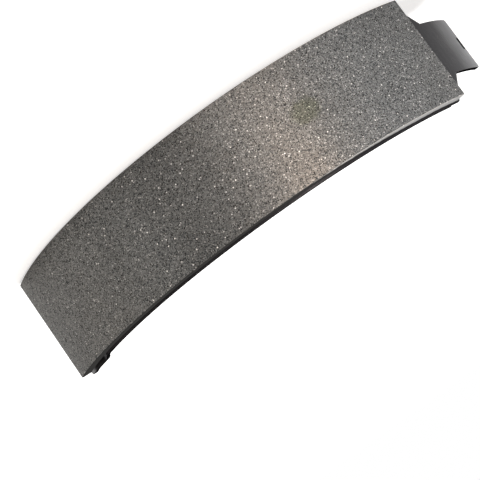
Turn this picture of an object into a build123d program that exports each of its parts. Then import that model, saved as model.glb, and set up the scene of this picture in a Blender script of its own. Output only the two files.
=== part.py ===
from build123d import *

import os
from math import cos, degrees, radians, sin, sqrt

# A bonded drum brake shoe: a T-section weldment of a stamped web on edge inside a rolled table, with a
# friction lining glued round the table. Lengths are in millimetres. The origin is on the drum's axis, in the
# plane of the side edge that the shoe lies on, and +Z runs along the drum's axis. Angles are in degrees
# round that axis from the middle of the lining, which faces -Y: positive towards the tongue end (-X), and
# negative towards the plate end.

# Lining
friction_radius = 155.5
lining_thickness = 6.3
lining_width = 63.5
lining_half_angle = 57.5
lining_edge_break = 0.4

# Table, the rolled rim under the lining
table_thickness = 2.7
table_lip = 1.1  # the table stands this far past each side of the lining
plate_overhang_angle = 3.0  # degrees of bare plate past the lining's end
plate_corner_radius = 3.5
plate_rise = 1.8  # the plate's end lies this far inside the rim's own circle
plate_inset = 2.2
plate_flat_angle = 5.7  # degrees from the plate's end to where its dent begins to fall
dent_depth = 3.8
dent_angle = 11.2
dent_start_angle = 15.8

# Tongue, the narrow end of the table
tongue_overhang_angle = 20.7
tongue_length = 34.8
tongue_width = 33.4
tongue_corner_radius = 1.6
neck_radius = 3.0
shoulder_run = 15.0
ear_taper_run = 36.0  # each side of the table closes in by the inset over this run before its shoulder
ear_taper_inset = 0.6
shoulder_radius = 2.0
tip_notch_width = 7.8
tip_notch_depth = 5.0

# Tooling holes through the table
tooling_hole_diameter = 7.0
plate_hole_angle = 10.3  # degrees in from the plate's end
plate_hole_spacing = 43.6
ear_hole_angle = 24.0  # degrees in from the tongue's end
ear_hole_spacing = 37.4

# Web. It is drawn by side and height: side is measured from the middle plane towards the tongue, and height
# from the drum's axis to the crown.
web_thickness = 4.8
web_overhang_angle = 7.2
belly_depth = 37.5  # of web inside the rim, along the body
waist_depth = 22.0
belly_to_waist_angle = -14.0
waist_start_angle = -21.5
belly_fillet = 12.0

# The arm that carries the adjuster, with the V notch that the adjuster sits in
arm_width = 30.8  # across its tip
arm_length = 46.7
arm_root_fillet = 8.0
body_step = 38.9  # from the arm's inner edge to the body's end
body_lip = 11.5  # the body's corner hangs this far below the arm's root
body_corner_radius = 7.0
body_bend_radius = 30.0
tip_rise = 4.5  # the tip slopes up by this much from its inner edge to the rim
notch_inner_land = 6.3  # flat tip between the arm's inner edge and the notch's mouth
notch_outer_land = 4.2
notch_bottom_share = 0.36  # how far across its mouth the notch is deepest, from the inner edge
notch_depth = 5.5
notch_bottom_radius = 1.5
tip_corner_radius = 1.5
relief_angle = 1.2  # degrees of rim cut back just past the tongue's end
relief_depth = 1.2

# The anchor end, measured from the plate's end: a finger, a shallow round seat and a lobe
finger_width = 5.6
finger_length = 12.7
finger_radius = 2.2
seat_width = 16.0
seat_end_drop = 9.0
seat_bulge = 3.0
lobe_width = 17.5
lobe_drop = 15.0
lobe_inner_radius = 9.0
lobe_outer_radius = 4.5
pad_bend_radius = 12.0

# Holes in the web
anchor_hole_diameter = 11.5
anchor_hole_setback = 11.1  # from the lobe's inner edge
anchor_hole_rise = 13.5  # above the lobe's foot
pin_hole_diameter = 11.5
pin_hole_depth = 18.1  # inside the rim
pin_hole_angle = -8.0
spring_hole_diameter = 7.5
spring_hole_setback = 17.4  # from the arm's inner edge
spring_hole_rise = 21.0  # above the arm's root
lever_slot_width = 8.6
lever_slot_length = 17.8
lever_slot_setback = 1.3
lever_slot_rise = 15.5
lever_slot_corner = 0.8

# Projection welds between the web and the table
weld_length = 6.0
weld_leg = 1.6
weld_first_angle = 2.5  # degrees in from the tongue's end
weld_pitch_angle = 10.4
weld_count = 12

# Sizes that follow from those above
table_radius = friction_radius - lining_thickness
rim_radius = table_radius - table_thickness
plate_radius = table_radius - plate_rise
table_width = lining_width + 2 * table_lip
middle = table_width / 2
plate_end = -lining_half_angle - plate_overhang_angle
tongue_end = lining_half_angle + tongue_overhang_angle


def polar(radius, angle):
    """The point at this radius and angle round the drum's axis."""
    return (-radius * sin(radians(angle)), -radius * cos(radians(angle)))


def at(side, height):
    """The point this far from the middle plane and from the drum's axis."""
    return (-side, -height)


def radial_plane(angle):
    """A plane on the table's outer surface: X towards the tongue, Y along -Z and its normal outwards."""
    x, y = polar(table_radius, angle)
    outwards = (x, y, 0)
    towards_tongue = (-cos(radians(angle)), sin(radians(angle)), 0)
    return Plane(origin=(x, y, middle), x_dir=towards_tongue, z_dir=outwards)


def rim_line(depth):
    """Draws the table's long side at this depth under its outer surface: the circle, the dent, the plate."""
    radius = table_radius - depth
    dent_start = plate_end + dent_start_angle
    ThreePointArc(
        polar(radius, tongue_end),
        polar(radius, (tongue_end + dent_start) / 2),
        polar(radius, dent_start),
    )
    Spline(
        polar(radius, dent_start),
        polar(radius - dent_depth, plate_end + dent_angle),
        polar(radius - plate_inset, plate_end + plate_flat_angle),
        polar(plate_radius - depth, plate_end),
        tangents=[
            (cos(radians(dent_start)), -sin(radians(dent_start))),
            (cos(radians(plate_end)), -sin(radians(plate_end))),
        ],
    )


def corner(sketch, point):
    """The sketch's corner nearest to this point."""
    return sketch.vertices().sort_by_distance(Vector(*point, middle - web_thickness / 2))[0]


# Table: a rolled strip with a dented plate at one end, blanked to a narrow tongue at the other
tongue_plane = radial_plane(tongue_end - degrees(tongue_length / 2 / table_radius))
tip_run = table_radius * sin(tongue_length / 2 / table_radius)
neck_run = tip_run - tongue_length
shoulder = (neck_run - shoulder_run, table_width / 2 - ear_taper_inset)
taper_start = (neck_run - shoulder_run - ear_taper_run, table_width / 2)
waste_run = 2 * tip_run
waste_width = table_width

with BuildPart() as table:
    with BuildSketch(Plane.XY):
        with BuildLine():
            rim_line(0)
            rim_line(table_thickness)
            Line(polar(table_radius, tongue_end), polar(rim_radius, tongue_end))
            Line(polar(plate_radius, plate_end), polar(plate_radius - table_thickness, plate_end))
        make_face()
    extrude(amount=table_width)
    plate_edge = Vector(*polar(plate_radius - table_thickness / 2, plate_end), middle)
    plate_face = table.faces().sort_by_distance(plate_edge)[0]
    fillet(plate_face.edges().filter_by(Axis.Z, reverse=True), plate_corner_radius)

    # The waste blanked away on each side of the tongue
    with BuildSketch(tongue_plane) as waste:
        with BuildLine():
            Polyline(
                taper_start,
                shoulder,
                (neck_run, tongue_width / 2),
                (waste_run, tongue_width / 2),
                (waste_run, waste_width),
                (taper_start[0], waste_width),
                close=True,
            )
        make_face()
        neck = tongue_plane.from_local_coords((neck_run, tongue_width / 2))
        fillet(waste.vertices().sort_by_distance(neck)[0], neck_radius)
        mirror(about=Plane(tongue_plane.origin, x_dir=tongue_plane.x_dir, z_dir=tongue_plane.y_dir))
    extrude(amount=3 * table_thickness, both=True, mode=Mode.SUBTRACT)
    for side in (1, -1):
        shoulder_point = tongue_plane.from_local_coords((shoulder[0], side * shoulder[1]))
        fillet(table.edges().sort_by_distance(shoulder_point)[0], shoulder_radius)
    tip_edge = Vector(*polar(table_radius - table_thickness / 2, tongue_end), middle)
    tip_face = table.faces().sort_by_distance(tip_edge)[0]
    fillet(tip_face.edges().filter_by(Axis.Z, reverse=True), tongue_corner_radius)

    # The notch in the tongue's end and the two holes in the shoulders
    with BuildSketch(tongue_plane):
        with Locations((tip_run, 0)):
            Rectangle(2 * tip_notch_depth, tip_notch_width)
    extrude(amount=3 * table_thickness, both=True, mode=Mode.SUBTRACT)
    with BuildSketch(radial_plane(tongue_end - ear_hole_angle)):
        with GridLocations(0, ear_hole_spacing, 1, 2):
            Circle(tooling_hole_diameter / 2)
    extrude(amount=3 * table_thickness, both=True, mode=Mode.SUBTRACT)

    # The two holes in the plate
    with BuildSketch(radial_plane(plate_end + plate_hole_angle)):
        with GridLocations(0, plate_hole_spacing, 1, 2):
            Circle(tooling_hole_diameter / 2)
    extrude(amount=3 * table_thickness, both=True, mode=Mode.SUBTRACT)
table.part.label = "table"


# Web: a flat stamping on edge along the middle of the table
belly_radius = rim_radius - belly_depth
waist_radius = rim_radius - waist_depth
tip_angle = tongue_end + web_overhang_angle
relief_end = tongue_end + relief_angle
relief_radius = rim_radius - relief_depth

tip_top = polar(rim_radius, tip_angle)
tip_side, tip_top_height = -tip_top[0], -tip_top[1]
arm_side = tip_side - arm_width
tip_height = tip_top_height - tip_rise
tip_slope = tip_rise / arm_width
notch_inner_side = arm_side + notch_inner_land
notch_outer_side = tip_side - notch_outer_land
notch_bottom_side = notch_inner_side + notch_bottom_share * (notch_outer_side - notch_inner_side)
tip_bottom = at(arm_side, tip_height)
notch_inner = at(notch_inner_side, tip_height + tip_slope * (notch_inner_side - arm_side))
notch_outer = at(notch_outer_side, tip_height + tip_slope * (notch_outer_side - arm_side))
notch_bottom = at(notch_bottom_side, tip_height + tip_slope * (notch_bottom_side - arm_side) + notch_depth)

arm_root_height = tip_height + arm_length
body_side = arm_side - body_step
arm_root = at(arm_side, arm_root_height)
body_corner = at(body_side, arm_root_height - body_lip)
body_bend = at(body_side, sqrt(belly_radius**2 - body_side**2))
belly_end = polar(belly_radius, belly_to_waist_angle)
waist_start = polar(waist_radius, waist_start_angle)

plate_root = polar(plate_radius - table_thickness, plate_end)
plate_side, plate_height = -plate_root[0], -plate_root[1]
seat_end_side = plate_side + finger_width
lobe_outer_side = seat_end_side + seat_width
lobe_side = lobe_outer_side + lobe_width
lobe_height = plate_height - lobe_drop
finger_outer = at(plate_side, plate_height - finger_length)
finger_inner = at(seat_end_side, plate_height - finger_length)
seat_end = at(seat_end_side, plate_height - seat_end_drop)
lobe_outer = at(lobe_outer_side, lobe_height)
lobe_inner = at(lobe_side, lobe_height)
pad_bend = at(lobe_side, sqrt(waist_radius**2 - lobe_side**2))

anchor_hole = at(lobe_side - anchor_hole_setback, lobe_height + anchor_hole_rise)
pin_hole = polar(rim_radius - pin_hole_depth, pin_hole_angle)
spring_hole = at(arm_side - spring_hole_setback, arm_root_height + spring_hole_rise)
lever_slot = at(arm_side - lever_slot_setback, arm_root_height + lever_slot_rise)

with BuildPart() as web:
    with BuildSketch(Plane.XY.offset(middle - web_thickness / 2)) as blank:
        with BuildLine():
            rim_line(table_thickness)
            Polyline(polar(rim_radius, tongue_end), polar(relief_radius, tongue_end))
            ThreePointArc(
                polar(relief_radius, tongue_end),
                polar(relief_radius, (tongue_end + relief_end) / 2),
                polar(relief_radius, relief_end),
            )
            Line(polar(relief_radius, relief_end), polar(rim_radius, relief_end))
            ThreePointArc(
                polar(rim_radius, relief_end),
                polar(rim_radius, (relief_end + tip_angle) / 2),
                tip_top,
            )
            Polyline(tip_top, notch_outer, notch_bottom, notch_inner, tip_bottom)
            Polyline(tip_bottom, arm_root, body_corner, body_bend)
            ThreePointArc(body_bend, polar(belly_radius, 0), belly_end)
            Line(belly_end, waist_start)
            ThreePointArc(waist_start, polar(waist_radius, 1.5 * waist_start_angle), pad_bend)
            Polyline(pad_bend, lobe_inner, lobe_outer)
            SagittaArc(lobe_outer, seat_end, -seat_bulge)
            Polyline(seat_end, finger_inner, finger_outer, plate_root)
        make_face()
        for point, radius in (
            (tip_top, tip_corner_radius),
            (notch_bottom, notch_bottom_radius),
            (tip_bottom, tip_corner_radius),
            (arm_root, arm_root_fillet),
            (body_corner, body_corner_radius),
            (body_bend, body_bend_radius),
            (belly_end, belly_fillet),
            (waist_start, belly_fillet),
            (pad_bend, pad_bend_radius),
            (lobe_inner, lobe_inner_radius),
            (lobe_outer, lobe_outer_radius),
            (finger_inner, finger_radius),
            (finger_outer, finger_radius),
        ):
            fillet(corner(blank, point), radius)
        with Locations(anchor_hole):
            Circle(anchor_hole_diameter / 2, mode=Mode.SUBTRACT)
        with Locations(pin_hole):
            Circle(pin_hole_diameter / 2, mode=Mode.SUBTRACT)
        with Locations(spring_hole):
            Circle(spring_hole_diameter / 2, mode=Mode.SUBTRACT)
        with Locations(lever_slot):
            RectangleRounded(lever_slot_width, lever_slot_length, lever_slot_corner, mode=Mode.SUBTRACT)
    extrude(amount=web_thickness)
web.part.label = "web"


# Lining: one bonded arc of friction material, square at both ends
with BuildPart() as lining:
    with BuildSketch(Plane.XY.offset(table_lip)):
        with BuildLine():
            for radius in (friction_radius, table_radius):
                ThreePointArc(
                    polar(radius, -lining_half_angle), polar(radius, 0), polar(radius, lining_half_angle)
                )
            for end in (-lining_half_angle, lining_half_angle):
                Line(polar(table_radius, end), polar(friction_radius, end))
        make_face()
    extrude(amount=lining_width)
    friction_face = lining.faces().sort_by_distance(Vector(0, -friction_radius, middle))[0]
    chamfer(friction_face.edges(), lining_edge_break)
lining.part.label = "lining"


# Weld nuggets: small quarter-round beads squeezed out along both sides of the joint between web and table
weld_radius = rim_radius - weld_length**2 / (8 * rim_radius)
weld_height = middle + web_thickness / 2

with BuildPart() as weld_nuggets:
    for count in range(weld_count):
        angle = tongue_end - weld_first_angle - count * weld_pitch_angle
        foot = (*polar(weld_radius, angle), weld_height)
        along = (cos(radians(angle)), -sin(radians(angle)), 0)
        with BuildSketch(Plane(origin=foot, x_dir=along, z_dir=(0, 0, 1))):
            with BuildLine():
                Line((-weld_length / 2, 0), (weld_length / 2, 0))
                ThreePointArc((-weld_length / 2, 0), (0, weld_leg), (weld_length / 2, 0))
            make_face()
        revolve(axis=Axis(foot, along), revolution_arc=90)
    mirror(about=Plane.XY.offset(middle))
weld_nuggets.part.label = "weld_nuggets"


os.makedirs("parts", exist_ok=True)
export_step(table.part, "parts/table.step")
export_step(web.part, "parts/web.step")
export_step(lining.part, "parts/lining.step")
export_step(weld_nuggets.part, "parts/weld_nuggets.step")
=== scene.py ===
import math

import bpy
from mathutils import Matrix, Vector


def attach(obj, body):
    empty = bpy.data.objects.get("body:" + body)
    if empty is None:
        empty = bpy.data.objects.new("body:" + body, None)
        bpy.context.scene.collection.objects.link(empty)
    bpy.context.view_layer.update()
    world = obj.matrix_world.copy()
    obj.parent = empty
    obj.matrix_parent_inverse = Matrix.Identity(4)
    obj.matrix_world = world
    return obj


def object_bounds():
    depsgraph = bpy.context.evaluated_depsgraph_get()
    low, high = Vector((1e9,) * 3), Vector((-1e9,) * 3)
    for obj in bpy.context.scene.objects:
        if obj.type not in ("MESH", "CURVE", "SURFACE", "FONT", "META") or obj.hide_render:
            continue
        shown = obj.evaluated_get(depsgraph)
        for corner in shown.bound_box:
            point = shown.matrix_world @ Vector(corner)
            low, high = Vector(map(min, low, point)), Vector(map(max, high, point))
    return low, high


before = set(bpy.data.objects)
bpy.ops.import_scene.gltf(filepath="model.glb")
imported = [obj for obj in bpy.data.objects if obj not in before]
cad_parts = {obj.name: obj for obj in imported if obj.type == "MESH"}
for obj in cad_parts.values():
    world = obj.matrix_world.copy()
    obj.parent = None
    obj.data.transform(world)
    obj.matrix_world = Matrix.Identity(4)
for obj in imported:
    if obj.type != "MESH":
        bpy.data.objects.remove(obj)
cad_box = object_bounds()
scene = bpy.context.scene


# ---------------------------------------------------------------- camera
# A long lens on a stand, almost level with the shoe and 0.84 m from the middle
# of its friction face. It is rolled, so that the shoe lies across the view
# with its tongue up on the right.
camera_data = bpy.data.cameras.new("camera")
camera_data.sensor_width = 36
camera_data.lens = 124.15
camera_data.clip_end = 60
camera = bpy.data.objects.new("camera", camera_data)
camera.location = (-0.13806, -0.96416, 0.19316)
camera.rotation_euler = [math.radians(a) for a in (-79.3057, -34.7490, 164.1029)]
scene.collection.objects.link(camera)
scene.camera = camera
scene.view_settings.view_transform = "Standard"


# ---------------------------------------------------------------- studio
# The shoe lies on a sweep of white paper in a dim white room. Four soft boxes
# light it: a large one overhead, a cool and a warm one at its sides, and a
# small warm key by the camera, which leaves a broad sheen on the lining.
paper_white = "E6E6E4"
paper_size = 40.0
shadow_reach, clear_reach = 0.2, 0.9  # the paper's own glow is weaker near the shoe, to keep its shadow
shadow_glow = 0.6
back_near, back_far = 0.09, 0.23  # how far back the paper brightens as gloss sees it
back_dim = 0.2
room_in_gloss = 0.4
room_level = 0.14


def linear(hex_colour):
    """An sRGB hex colour as linear RGBA."""
    channels = []
    for i in (0, 2, 4):
        c = int(hex_colour[i : i + 2], 16) / 255
        channels.append(c / 12.92 if c <= 0.04045 else ((c + 0.055) / 1.055) ** 2.4)
    return (*channels, 1.0)


def add(tree, kind, settings=None, **inputs):
    """Adds a node with its own settings. An input is a value, a socket, or a node for its first output.

    Base_Color means the input "Base Color", and _2 the third input. A colour Mix has its factor at 0,
    its two colours at 6 and 7, and its result at output 2.
    """
    node = tree.nodes.new(kind)
    for key, value in (settings or {}).items():
        setattr(node, key, value)
    for key, value in inputs.items():
        socket = node.inputs[int(key[1:]) if key[0] == "_" else key.replace("_", " ")]
        if isinstance(value, bpy.types.Node):
            value = value.outputs[0]
        if isinstance(value, bpy.types.NodeSocket):
            tree.links.new(value, socket)
        else:
            socket.default_value = value
    return node


def seen_white(tree, in_gloss):
    """White for what the camera sees and what shows through glass, and in_gloss of it for what gloss
    reflects. The rays that light the shoe get none."""
    path = add(tree, "ShaderNodeLightPath")
    seen = add(
        tree, "ShaderNodeMath", {"operation": "MAXIMUM"},
        _0=path.outputs["Is Camera Ray"], _1=path.outputs["Is Transmission Ray"],
    )
    gloss = add(
        tree, "ShaderNodeMath", {"operation": "MULTIPLY"},
        _0=path.outputs["Is Glossy Ray"], _1=in_gloss,
    )
    return add(tree, "ShaderNodeMath", {"operation": "MAXIMUM"}, _0=seen, _1=gloss)


world = bpy.data.worlds.new("white_room")
scene.world = world
world.use_nodes = True
room = world.node_tree
room.nodes.clear()
room_white = add(
    room, "ShaderNodeMapRange",
    Value=seen_white(room, room_in_gloss), To_Min=room_level, To_Max=1.0,
)
room_light = add(room, "ShaderNodeBackground", Color=linear("FFFFFF"), Strength=room_white)
add(room, "ShaderNodeOutputWorld", Surface=room_light)

# Matte white paper: it takes the shoe's soft shadow and has no gloss of its own.
paper = bpy.data.materials.new("matte_white_paper")
paper.use_nodes = True
sheet = paper.node_tree
sheet.nodes.clear()
paper_place = add(sheet, "ShaderNodeTexCoord").outputs["Object"]
paper_away = add(sheet, "ShaderNodeVectorMath", {"operation": "LENGTH"}, _0=paper_place)
paper_level = add(
    sheet, "ShaderNodeMapRange", Value=paper_away.outputs["Value"],
    From_Min=shadow_reach, From_Max=clear_reach, To_Min=shadow_glow, To_Max=1.0,
)
# in gloss only the paper behind the tongue is bright
paper_back = add(
    sheet, "ShaderNodeVectorMath", {"operation": "DOT_PRODUCT"},
    _0=paper_place, _1=(-0.5, 1.0, 0.0),
)
paper_in_gloss = add(
    sheet, "ShaderNodeMapRange", {"interpolation_type": "SMOOTHSTEP"},
    Value=paper_back.outputs["Value"],
    From_Min=back_near, From_Max=back_far, To_Min=back_dim, To_Max=1.0,
)
paper_glow = add(
    sheet, "ShaderNodeMath", {"operation": "MULTIPLY"},
    _0=seen_white(sheet, paper_in_gloss), _1=paper_level,
)
paper_face = add(sheet, "ShaderNodeBsdfDiffuse", Color=linear(paper_white))
paper_shine = add(sheet, "ShaderNodeEmission", Color=linear("FFFFFF"), Strength=paper_glow)
paper_both = add(sheet, "ShaderNodeAddShader", _0=paper_face, _1=paper_shine)
add(sheet, "ShaderNodeOutputMaterial", Surface=paper_both)

bpy.ops.object.select_all(action="DESELECT")
bpy.ops.mesh.primitive_plane_add(size=paper_size, location=(0, 0, cad_box[0][2]))
floor = bpy.context.object
floor.name = "floor"
floor.data.materials.append(paper)


def soft_box(name, place, aim, size, watts, colour):
    """A rectangular area light at a place, turned to face another, with its width level."""
    lamp = bpy.data.lights.new(name, "AREA")
    lamp.shape = "RECTANGLE"
    lamp.size, lamp.size_y = size
    lamp.energy = watts
    lamp.color = linear(colour)[:3]
    box = bpy.data.objects.new(name, lamp)
    box.location = place
    away = [p - a for p, a in zip(place, aim)]
    flat = math.hypot(away[0], away[1])
    box.rotation_euler = (math.atan2(flat, away[2]), 0, math.atan2(away[0], -away[1]))
    scene.collection.objects.link(box)


face_middle = (0, -0.13, 0.03)
soft_box("soft_box_key", (-0.50, -1.0, 0.15), face_middle, size=(0.20, 0.24), watts=13.5, colour="FFEEDF")
soft_box("soft_box_right", (-0.95, -0.60, 0.25), face_middle, size=(0.7, 0.5), watts=2.0, colour="C6DCFF")
soft_box("soft_box_left", (1.10, -0.32, 0.30), face_middle, size=(0.6, 0.5), watts=2.9, colour="FFEAD4")
soft_box("soft_box_top", (0.05, 0.25, 1.1), (0, -0.05, 0), size=(0.7, 0.7), watts=12, colour="FFFFFF")


# ---------------------------------------------------------------- table, web and weld nuggets
# Hot-rolled steel strip, rolled and blanked for the table, stamped for the web,
# and joined by resistance welds. All three were dipped in thin black primer
# together, after welding, so they share one finish.
table_width = 0.0657
mid_width = table_width / 2
past_web = 0.01  # from mid-width, on either side
coat_cloud = 1 / 45  # 22 mm, where the coat ran thick and thin
coat_lump = 1 / 320  # 3 mm, the rolled strip's unevenness
steel_grain = 1 / 1400  # 0.7 mm, because the real grain is too fine to show
dust_step = 1 / 900  # 1.1 mm, which leaves specks of about half a millimetre
scuff_step = 1 / 260  # 4 mm
worn_edge = 0.0006
coat_relief = 0.0002
coat_thin, coat_thick = "27272A", "161618"
coat_smooth, coat_dull = 0.29, 0.40
satin_tint = "EEF1FF"
satin_start, satin_full = 0.64, 0.86  # from 0 seen face on to 1 seen edge on
satin_least, satin_most = 0.12, 0.9
dust_grey = "4A4947"
rubbed_grey = "38383B"
# painted shade on the table's sheared side edges
sheared_edge_painted_shade = "101011"
sheared_facing = 0.8  # how far a face's normal lies along the drum's axis


def black_primer():
    """Black dip primer on hot-rolled steel, a thin satin coat.

    It is nearly black, dulls the steel's gloss except at a grazing angle, lets the faint grain show,
    holds dust, and is worn grey on sharp edges.
    """
    paint = bpy.data.materials.new("black_dip_primer_on_steel")
    paint.use_nodes = True
    tree = paint.node_tree
    tree.nodes.clear()
    place = add(tree, "ShaderNodeTexCoord").outputs["Object"]
    normal = add(tree, "ShaderNodeNewGeometry").outputs["Normal"]

    # thick and thin places
    cloud = add(
        tree, "ShaderNodeTexNoise", Vector=place, Scale=1 / coat_cloud, Detail=4.0, Roughness=0.6
    )
    coat = add(
        tree, "ShaderNodeMix", {"data_type": "RGBA"},
        _0=cloud, _6=linear(coat_thick), _7=linear(coat_thin),
    )
    coat_rough = add(
        tree, "ShaderNodeMapRange",
        Value=cloud, From_Min=0.3, From_Max=0.7, To_Min=coat_smooth, To_Max=coat_dull,
    )

    # dust and fine scuffs
    dust = add(
        tree, "ShaderNodeTexNoise", Vector=place, Scale=1 / dust_step, Detail=2.0, Roughness=0.8
    )
    dusty = add(
        tree, "ShaderNodeMapRange",
        Value=dust, From_Min=0.62, From_Max=0.76, To_Min=0.0, To_Max=0.45,
    )
    dusted = add(
        tree, "ShaderNodeMix", {"data_type": "RGBA"},
        _0=dusty, _6=coat.outputs[2], _7=linear(dust_grey),
    )

    # worn edges, where a rounder normal parts from the face's own
    round_normal = add(tree, "ShaderNodeBevel", {"samples": 6}, Radius=worn_edge)
    alike = add(
        tree, "ShaderNodeVectorMath", {"operation": "DOT_PRODUCT"}, _0=round_normal, _1=normal
    )
    edge = add(
        tree, "ShaderNodeMapRange", Value=alike.outputs["Value"],
        From_Min=0.985, From_Max=0.86, To_Min=0.0, To_Max=1.0,
    )
    scuff = add(
        tree, "ShaderNodeTexNoise", Vector=place, Scale=1 / scuff_step, Detail=4.0, Roughness=0.7
    )
    rubbed = add(
        tree, "ShaderNodeMapRange",
        Value=scuff, From_Min=0.42, From_Max=0.62, To_Min=0.15, To_Max=0.85,
    )
    worn = add(tree, "ShaderNodeMath", {"operation": "MULTIPLY"}, _0=edge, _1=rubbed)
    scuffed = add(
        tree, "ShaderNodeMix", {"data_type": "RGBA"},
        _0=worn, _6=dusted.outputs[2], _7=linear(rubbed_grey),
    )

    # the table's sheared side edges are rough under the paint, so they have no sheen; their near-black
    # colour is painted shade
    up = add(tree, "ShaderNodeSeparateXYZ", Vector=normal)
    sideways = add(tree, "ShaderNodeMath", {"operation": "ABSOLUTE"}, _0=up.outputs[2])
    facing_side = add(
        tree, "ShaderNodeMath", {"operation": "GREATER_THAN"}, _0=sideways, _1=sheared_facing
    )
    height = add(tree, "ShaderNodeSeparateXYZ", Vector=place)
    off_middle = add(
        tree, "ShaderNodeMath", {"operation": "SUBTRACT"}, _0=height.outputs[2], _1=mid_width
    )
    off_web = add(tree, "ShaderNodeMath", {"operation": "ABSOLUTE"}, _0=off_middle)
    at_side = add(tree, "ShaderNodeMath", {"operation": "GREATER_THAN"}, _0=off_web, _1=past_web)
    sheared = add(tree, "ShaderNodeMath", {"operation": "MULTIPLY"}, _0=facing_side, _1=at_side)
    # the sheared side edges are painted near black, as shade
    colour = add(
        tree, "ShaderNodeMix", {"data_type": "RGBA"},
        _0=sheared, _6=scuffed.outputs[2], _7=linear(sheared_edge_painted_shade),
    )
    rough = add(tree, "ShaderNodeMath", {"operation": "MAXIMUM"}, _0=coat_rough, _1=sheared)

    # the satin coat shines only at a grazing angle
    graze = add(tree, "ShaderNodeLayerWeight", Blend=0.5)
    satin = add(
        tree, "ShaderNodeMapRange", Value=graze.outputs["Facing"],
        From_Min=satin_start, From_Max=satin_full, To_Min=satin_least, To_Max=satin_most,
    )
    sheen = add(tree, "ShaderNodeMapRange", Value=sheared, To_Min=satin, To_Max=0.0)

    grain = add(
        tree, "ShaderNodeTexNoise", Vector=place, Scale=1 / steel_grain, Detail=3.0, Roughness=0.65
    )
    lumps = add(
        tree, "ShaderNodeTexNoise", Vector=place, Scale=1 / coat_lump, Detail=3.0, Roughness=0.5
    )
    relief = add(
        tree, "ShaderNodeMath", {"operation": "MULTIPLY_ADD"}, _0=grain, _1=0.35, _2=lumps
    )
    bump = add(tree, "ShaderNodeBump", Strength=0.35, Distance=coat_relief, Height=relief)
    finish = add(
        tree, "ShaderNodeBsdfPrincipled",
        Base_Color=colour.outputs[2], Roughness=rough, IOR=1.5,
        Specular_IOR_Level=sheen, Specular_Tint=linear(satin_tint), Normal=bump,
    )
    add(tree, "ShaderNodeOutputMaterial", Surface=finish)
    return paint


primer = black_primer()
for name in ("table", "web", "weld_nuggets"):
    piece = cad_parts[name]
    piece.data.materials.clear()
    piece.data.materials.append(primer)


# ---------------------------------------------------------------- bridge of the tongue's slot
# The slot in the tongue's end is closed by a thin bar of the same steel,
# blanked with the table and painted with it, so that it shows as a short dark
# line just inside the tip.
bridge_angle = math.radians(77.95)  # from the lining's middle towards the tongue
bridge_radius = 0.14784  # at the middle of the strip's thickness
bridge_depth = 0.0012
strip_thickness = 0.00266
slot_width = 0.0080
bpy.ops.object.select_all(action="DESELECT")
bpy.ops.mesh.primitive_plane_add(
    size=1,
    location=(
        -bridge_radius * math.sin(bridge_angle),
        -bridge_radius * math.cos(bridge_angle),
        mid_width - slot_width / 2,
    ),
    rotation=(0, 0, -bridge_angle),
)
bridge = bpy.context.object
bridge.name = "tongue_slot_bridge"
bridge.scale = (bridge_depth, strip_thickness, 1)
# the bar's section is drawn out across the slot
bpy.ops.object.mode_set(mode="EDIT")
bpy.ops.mesh.select_all(action="SELECT")
bpy.ops.mesh.extrude_region_move(TRANSFORM_OT_translate={"value": (0, 0, slot_width)})
bpy.ops.mesh.select_all(action="SELECT")
bpy.ops.mesh.normals_make_consistent(inside=False)
bpy.ops.object.mode_set(mode="OBJECT")
bpy.ops.object.transform_apply(location=True, rotation=True, scale=True)
bridge.data.materials.append(primer)
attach(bridge, "root")


# ---------------------------------------------------------------- lining
# A moulded friction block: resin, mineral grit, rubber crumb, graphite and
# metal chips pressed and cured, ground round on its face and glued to the
# table. Its sides carry overspray of the black primer, thickest by the table.
face_radius = 0.1555
side_radius = 0.15535  # below it lie the sides, which were not ground
grain_width = 1 / 2200  # 0.45 mm, because the finer grains are too small to show
pore_step = 1 / 950  # 1 mm from one pore or pale chip to the next
blotch_width = 1 / 40  # 25 mm
rag_width = 1 / 330  # 3 mm, on the edges of the grease and the overspray
grain_relief = 0.00012
grain_tints = (
    (0, "212426"), (0.15, "393D41"), (0.5, "4C5154"), (0.85, "5D6265"), (0.965, "767B7E"), (1, "A9ABAC"),
)
# painted light and shade along the block's arc, from one radian before the middle to one past it
arc_light_and_shade_tints = (
    (0, "CACACA"), (0.17, "FCFCFC"), (0.33, "EBEBEB"), (0.45, "CECECE"),
    (0.50, "D2D2D2"), (0.60, "FEFEFE"), (0.80, "FFFFFF"), (1, "EAEAEA"),
)
face_roughness = 0.34
face_sheen = 0.58
face_sheen_tint = "FFF0E0"
pore_black, pore_share = "242321", 0.24
chip_dull, chip_bright, chip_share = "9C9EA1", "E6E7E8", 0.035
grease_olive = "C9D2B4"
grease_angle = 0.4136  # radians from the lining's middle towards the tongue
grease_height = 0.0315
grease_half_along, grease_half_across = 0.0086, 0.0068
grease_strength, grease_dulling = 0.75, 0.27
sawn_grey, sawn_dust = "CFCFCD", 0.55
overspray_black, overspray_cover = "1B1A19", 0.93
spray_high, spray_low = 0.1572, 0.1500  # the radius that it reaches, from the plate to the tongue
spray_falls_from, spray_falls_to = 0.2, 0.75  # radians
spray_wander = 0.006
spray_fade_start, spray_fade_end = 0.0020, 0.0044


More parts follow.
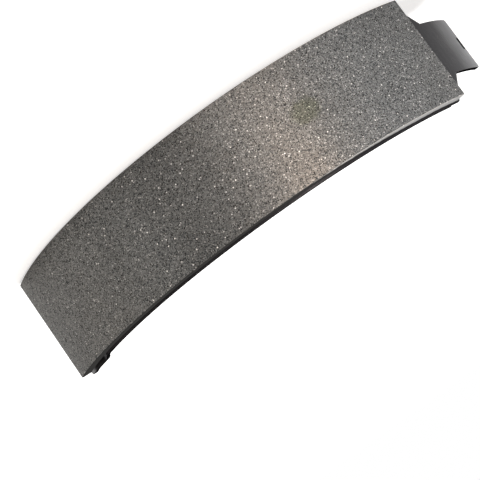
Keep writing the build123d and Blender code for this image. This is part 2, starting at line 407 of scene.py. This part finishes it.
def friction_composite():
    """Ground friction composite: grey grains of resin, mineral and metal, dark open pores and pale chips.

    It is dull, with a low broad sheen where the light strikes its ground face. The darkest grains, the
    pores and the sides have none.
    """
    block = bpy.data.materials.new("ground_friction_composite")
    block.use_nodes = True
    tree = block.node_tree
    tree.nodes.clear()
    place = add(tree, "ShaderNodeTexCoord").outputs["Object"]
    xyz = add(tree, "ShaderNodeSeparateXYZ", Vector=place)

    # the radius and the angle round the drum's axis, positive towards the tongue
    flat = add(tree, "ShaderNodeCombineXYZ", X=xyz.outputs[0], Y=xyz.outputs[1])
    length = add(tree, "ShaderNodeVectorMath", {"operation": "LENGTH"}, _0=flat)
    radius = length.outputs["Value"]
    turned = add(tree, "ShaderNodeVectorMath", {"operation": "SCALE"}, _0=flat, Scale=-1.0)
    front = add(tree, "ShaderNodeSeparateXYZ", Vector=turned)
    angle = add(
        tree, "ShaderNodeMath", {"operation": "ARCTAN2"}, _0=front.outputs[0], _1=front.outputs[1]
    )

    # grains, blotched at random, with painted light and shade along the arc
    grains = add(tree, "ShaderNodeTexVoronoi", Vector=place, Scale=1 / grain_width)
    grain_pick = add(tree, "ShaderNodeSeparateColor", Color=grains.outputs["Color"])
    grain_tone = add(tree, "ShaderNodeValToRGB", Fac=grain_pick)
    along = add(tree, "ShaderNodeMapRange", Value=angle, From_Min=-1.0, From_Max=1.0)
    arc_light_and_shade = add(tree, "ShaderNodeValToRGB", Fac=along)
    arc_light_and_shade.color_ramp.interpolation = "EASE"
    for ramp, tints in ((grain_tone.color_ramp, grain_tints), (arc_light_and_shade.color_ramp, arc_light_and_shade_tints)):
        ramp.elements[0].color = linear(tints[0][1])
        ramp.elements[1].color = linear(tints[-1][1])
        for stop, tint in tints[1:-1]:
            ramp.elements.new(stop).color = linear(tint)
    patch = add(
        tree, "ShaderNodeTexNoise", Vector=place, Scale=1 / blotch_width, Detail=3.0, Roughness=0.55
    )
    patch_level = add(
        tree, "ShaderNodeMapRange",
        Value=patch, From_Min=0.3, From_Max=0.7, To_Min=0.92, To_Max=1.08,
    )
    # random blotches, times the painted light and shade along the arc
    level = add(tree, "ShaderNodeMath", {"operation": "MULTIPLY"}, _0=patch_level, _1=arc_light_and_shade)
    blotched_and_painted_shade = add(tree, "ShaderNodeVectorMath", {"operation": "SCALE"}, _0=grain_tone, Scale=level)

    # open pores, and pale chips of mineral and metal
    pores = add(tree, "ShaderNodeTexVoronoi", Vector=place, Scale=1 / pore_step)
    pore_pick = add(tree, "ShaderNodeSeparateColor", Color=pores.outputs["Color"])
    disc = add(
        tree, "ShaderNodeMapRange", Value=pores.outputs["Distance"],
        From_Min=0.22, From_Max=0.42, To_Min=1.0, To_Max=0.0,
    )
    pore_on = add(tree, "ShaderNodeMath", {"operation": "LESS_THAN"}, _0=pore_pick, _1=pore_share)
    pore = add(tree, "ShaderNodeMath", {"operation": "MULTIPLY"}, _0=pore_on, _1=disc)
    pored = add(
        tree, "ShaderNodeMix", {"data_type": "RGBA"}, _0=pore, _6=blotched_and_painted_shade, _7=linear(pore_black)
    )
    chip_on = add(
        tree, "ShaderNodeMath", {"operation": "GREATER_THAN"}, _0=pore_pick, _1=1 - chip_share
    )
    chip = add(tree, "ShaderNodeMath", {"operation": "MULTIPLY"}, _0=chip_on, _1=disc)
    chip_tint = add(
        tree, "ShaderNodeMix", {"data_type": "RGBA"},
        _0=pore_pick.outputs[1], _6=linear(chip_dull), _7=linear(chip_bright),
    )
    chipped = add(
        tree, "ShaderNodeMix", {"data_type": "RGBA"},
        _0=chip, _6=pored.outputs[2], _7=chip_tint.outputs[2],
    )

    # an old olive grease spot with a ragged edge, about 16 by 13 mm
    ragged = add(
        tree, "ShaderNodeTexNoise", Vector=place, Scale=1 / rag_width, Detail=4.0, Roughness=0.65
    )
    spot_along = add(
        tree, "ShaderNodeMath", {"operation": "MULTIPLY_ADD"}, _0=angle,
        _1=face_radius / grease_half_along, _2=-grease_angle * face_radius / grease_half_along,
    )
    spot_across = add(
        tree, "ShaderNodeMath", {"operation": "MULTIPLY_ADD"}, _0=xyz.outputs[2],
        _1=1 / grease_half_across, _2=-grease_height / grease_half_across,
    )
    spot_flat = add(tree, "ShaderNodeCombineXYZ", X=spot_along, Y=spot_across)
    spot_away = add(tree, "ShaderNodeVectorMath", {"operation": "LENGTH"}, _0=spot_flat)
    spot_edge = add(
        tree, "ShaderNodeMath", {"operation": "MULTIPLY_ADD"},
        _0=ragged, _1=1.1, _2=spot_away.outputs["Value"],
    )
    grease = add(
        tree, "ShaderNodeMapRange",
        Value=spot_edge, From_Min=1.25, From_Max=1.75, To_Min=grease_strength, To_Max=0.0,
    )
    greasy = add(
        tree, "ShaderNodeMix", {"data_type": "RGBA", "blend_type": "MULTIPLY"},
        _0=grease, _6=chipped.outputs[2], _7=linear(grease_olive),
    )

    # the sawn sides are paler, and dusty
    on_side = add(tree, "ShaderNodeMath", {"operation": "LESS_THAN"}, _0=radius, _1=side_radius)
    sawn = add(
        tree, "ShaderNodeMix", {"data_type": "RGBA"},
        _0=sawn_dust, _6=greasy.outputs[2], _7=linear(sawn_grey),
    )
    sided = add(
        tree, "ShaderNodeMix", {"data_type": "RGBA"},
        _0=on_side, _6=greasy.outputs[2], _7=sawn.outputs[2],
    )

    # black on them: nearly all over them from the plate to the middle, and near the tongue
    # only a line by the table
    spray_top = add(
        tree, "ShaderNodeMapRange", Value=angle,
        From_Min=spray_falls_from, From_Max=spray_falls_to, To_Min=spray_high, To_Max=spray_low,
    )
    spray_edge = add(
        tree, "ShaderNodeMath", {"operation": "MULTIPLY_ADD"},
        _0=ragged, _1=-spray_wander, _2=radius,
    )
    under_top = add(
        tree, "ShaderNodeMath", {"operation": "SUBTRACT"}, _0=spray_top, _1=spray_edge
    )
    sprayed = add(
        tree, "ShaderNodeMapRange", Value=under_top,
        From_Min=spray_fade_start, From_Max=spray_fade_end, To_Min=0.0, To_Max=overspray_cover,
    )
    spray_on = add(tree, "ShaderNodeMath", {"operation": "MULTIPLY"}, _0=sprayed, _1=on_side)
    colour = add(
        tree, "ShaderNodeMix", {"data_type": "RGBA"},
        _0=spray_on, _6=sided.outputs[2], _7=linear(overspray_black),
    )

    # pores, sides and, in part, the grease are matte, and the darker a grain is, the less it shines
    grease_matte = add(tree, "ShaderNodeMath", {"operation": "MULTIPLY"}, _0=grease, _1=grease_dulling)
    face_matte = add(tree, "ShaderNodeMath", {"operation": "MAXIMUM"}, _0=pore, _1=grease_matte)
    matte = add(tree, "ShaderNodeMath", {"operation": "MAXIMUM"}, _0=face_matte, _1=on_side)
    rough = add(tree, "ShaderNodeMath", {"operation": "MAXIMUM"}, _0=face_roughness, _1=matte)
    grain_sheen = add(
        tree, "ShaderNodeMapRange",
        Value=grain_pick, From_Min=0.08, From_Max=0.42, To_Min=0.0, To_Max=face_sheen,
    )
    sheen = add(tree, "ShaderNodeMapRange", Value=matte, To_Min=grain_sheen, To_Max=0.0)

    relief = add(
        tree, "ShaderNodeMath", {"operation": "SUBTRACT"}, _0=grain_pick.outputs[1], _1=pore
    )
    bump = add(tree, "ShaderNodeBump", Strength=0.35, Distance=grain_relief, Height=relief)
    finish = add(
        tree, "ShaderNodeBsdfPrincipled",
        Base_Color=colour.outputs[2], Roughness=rough, IOR=1.5,
        Specular_IOR_Level=sheen, Specular_Tint=linear(face_sheen_tint), Normal=bump,
    )
    add(tree, "ShaderNodeOutputMaterial", Surface=finish)
    return block


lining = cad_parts["lining"]
lining.data.materials.clear()
lining.data.materials.append(friction_composite())
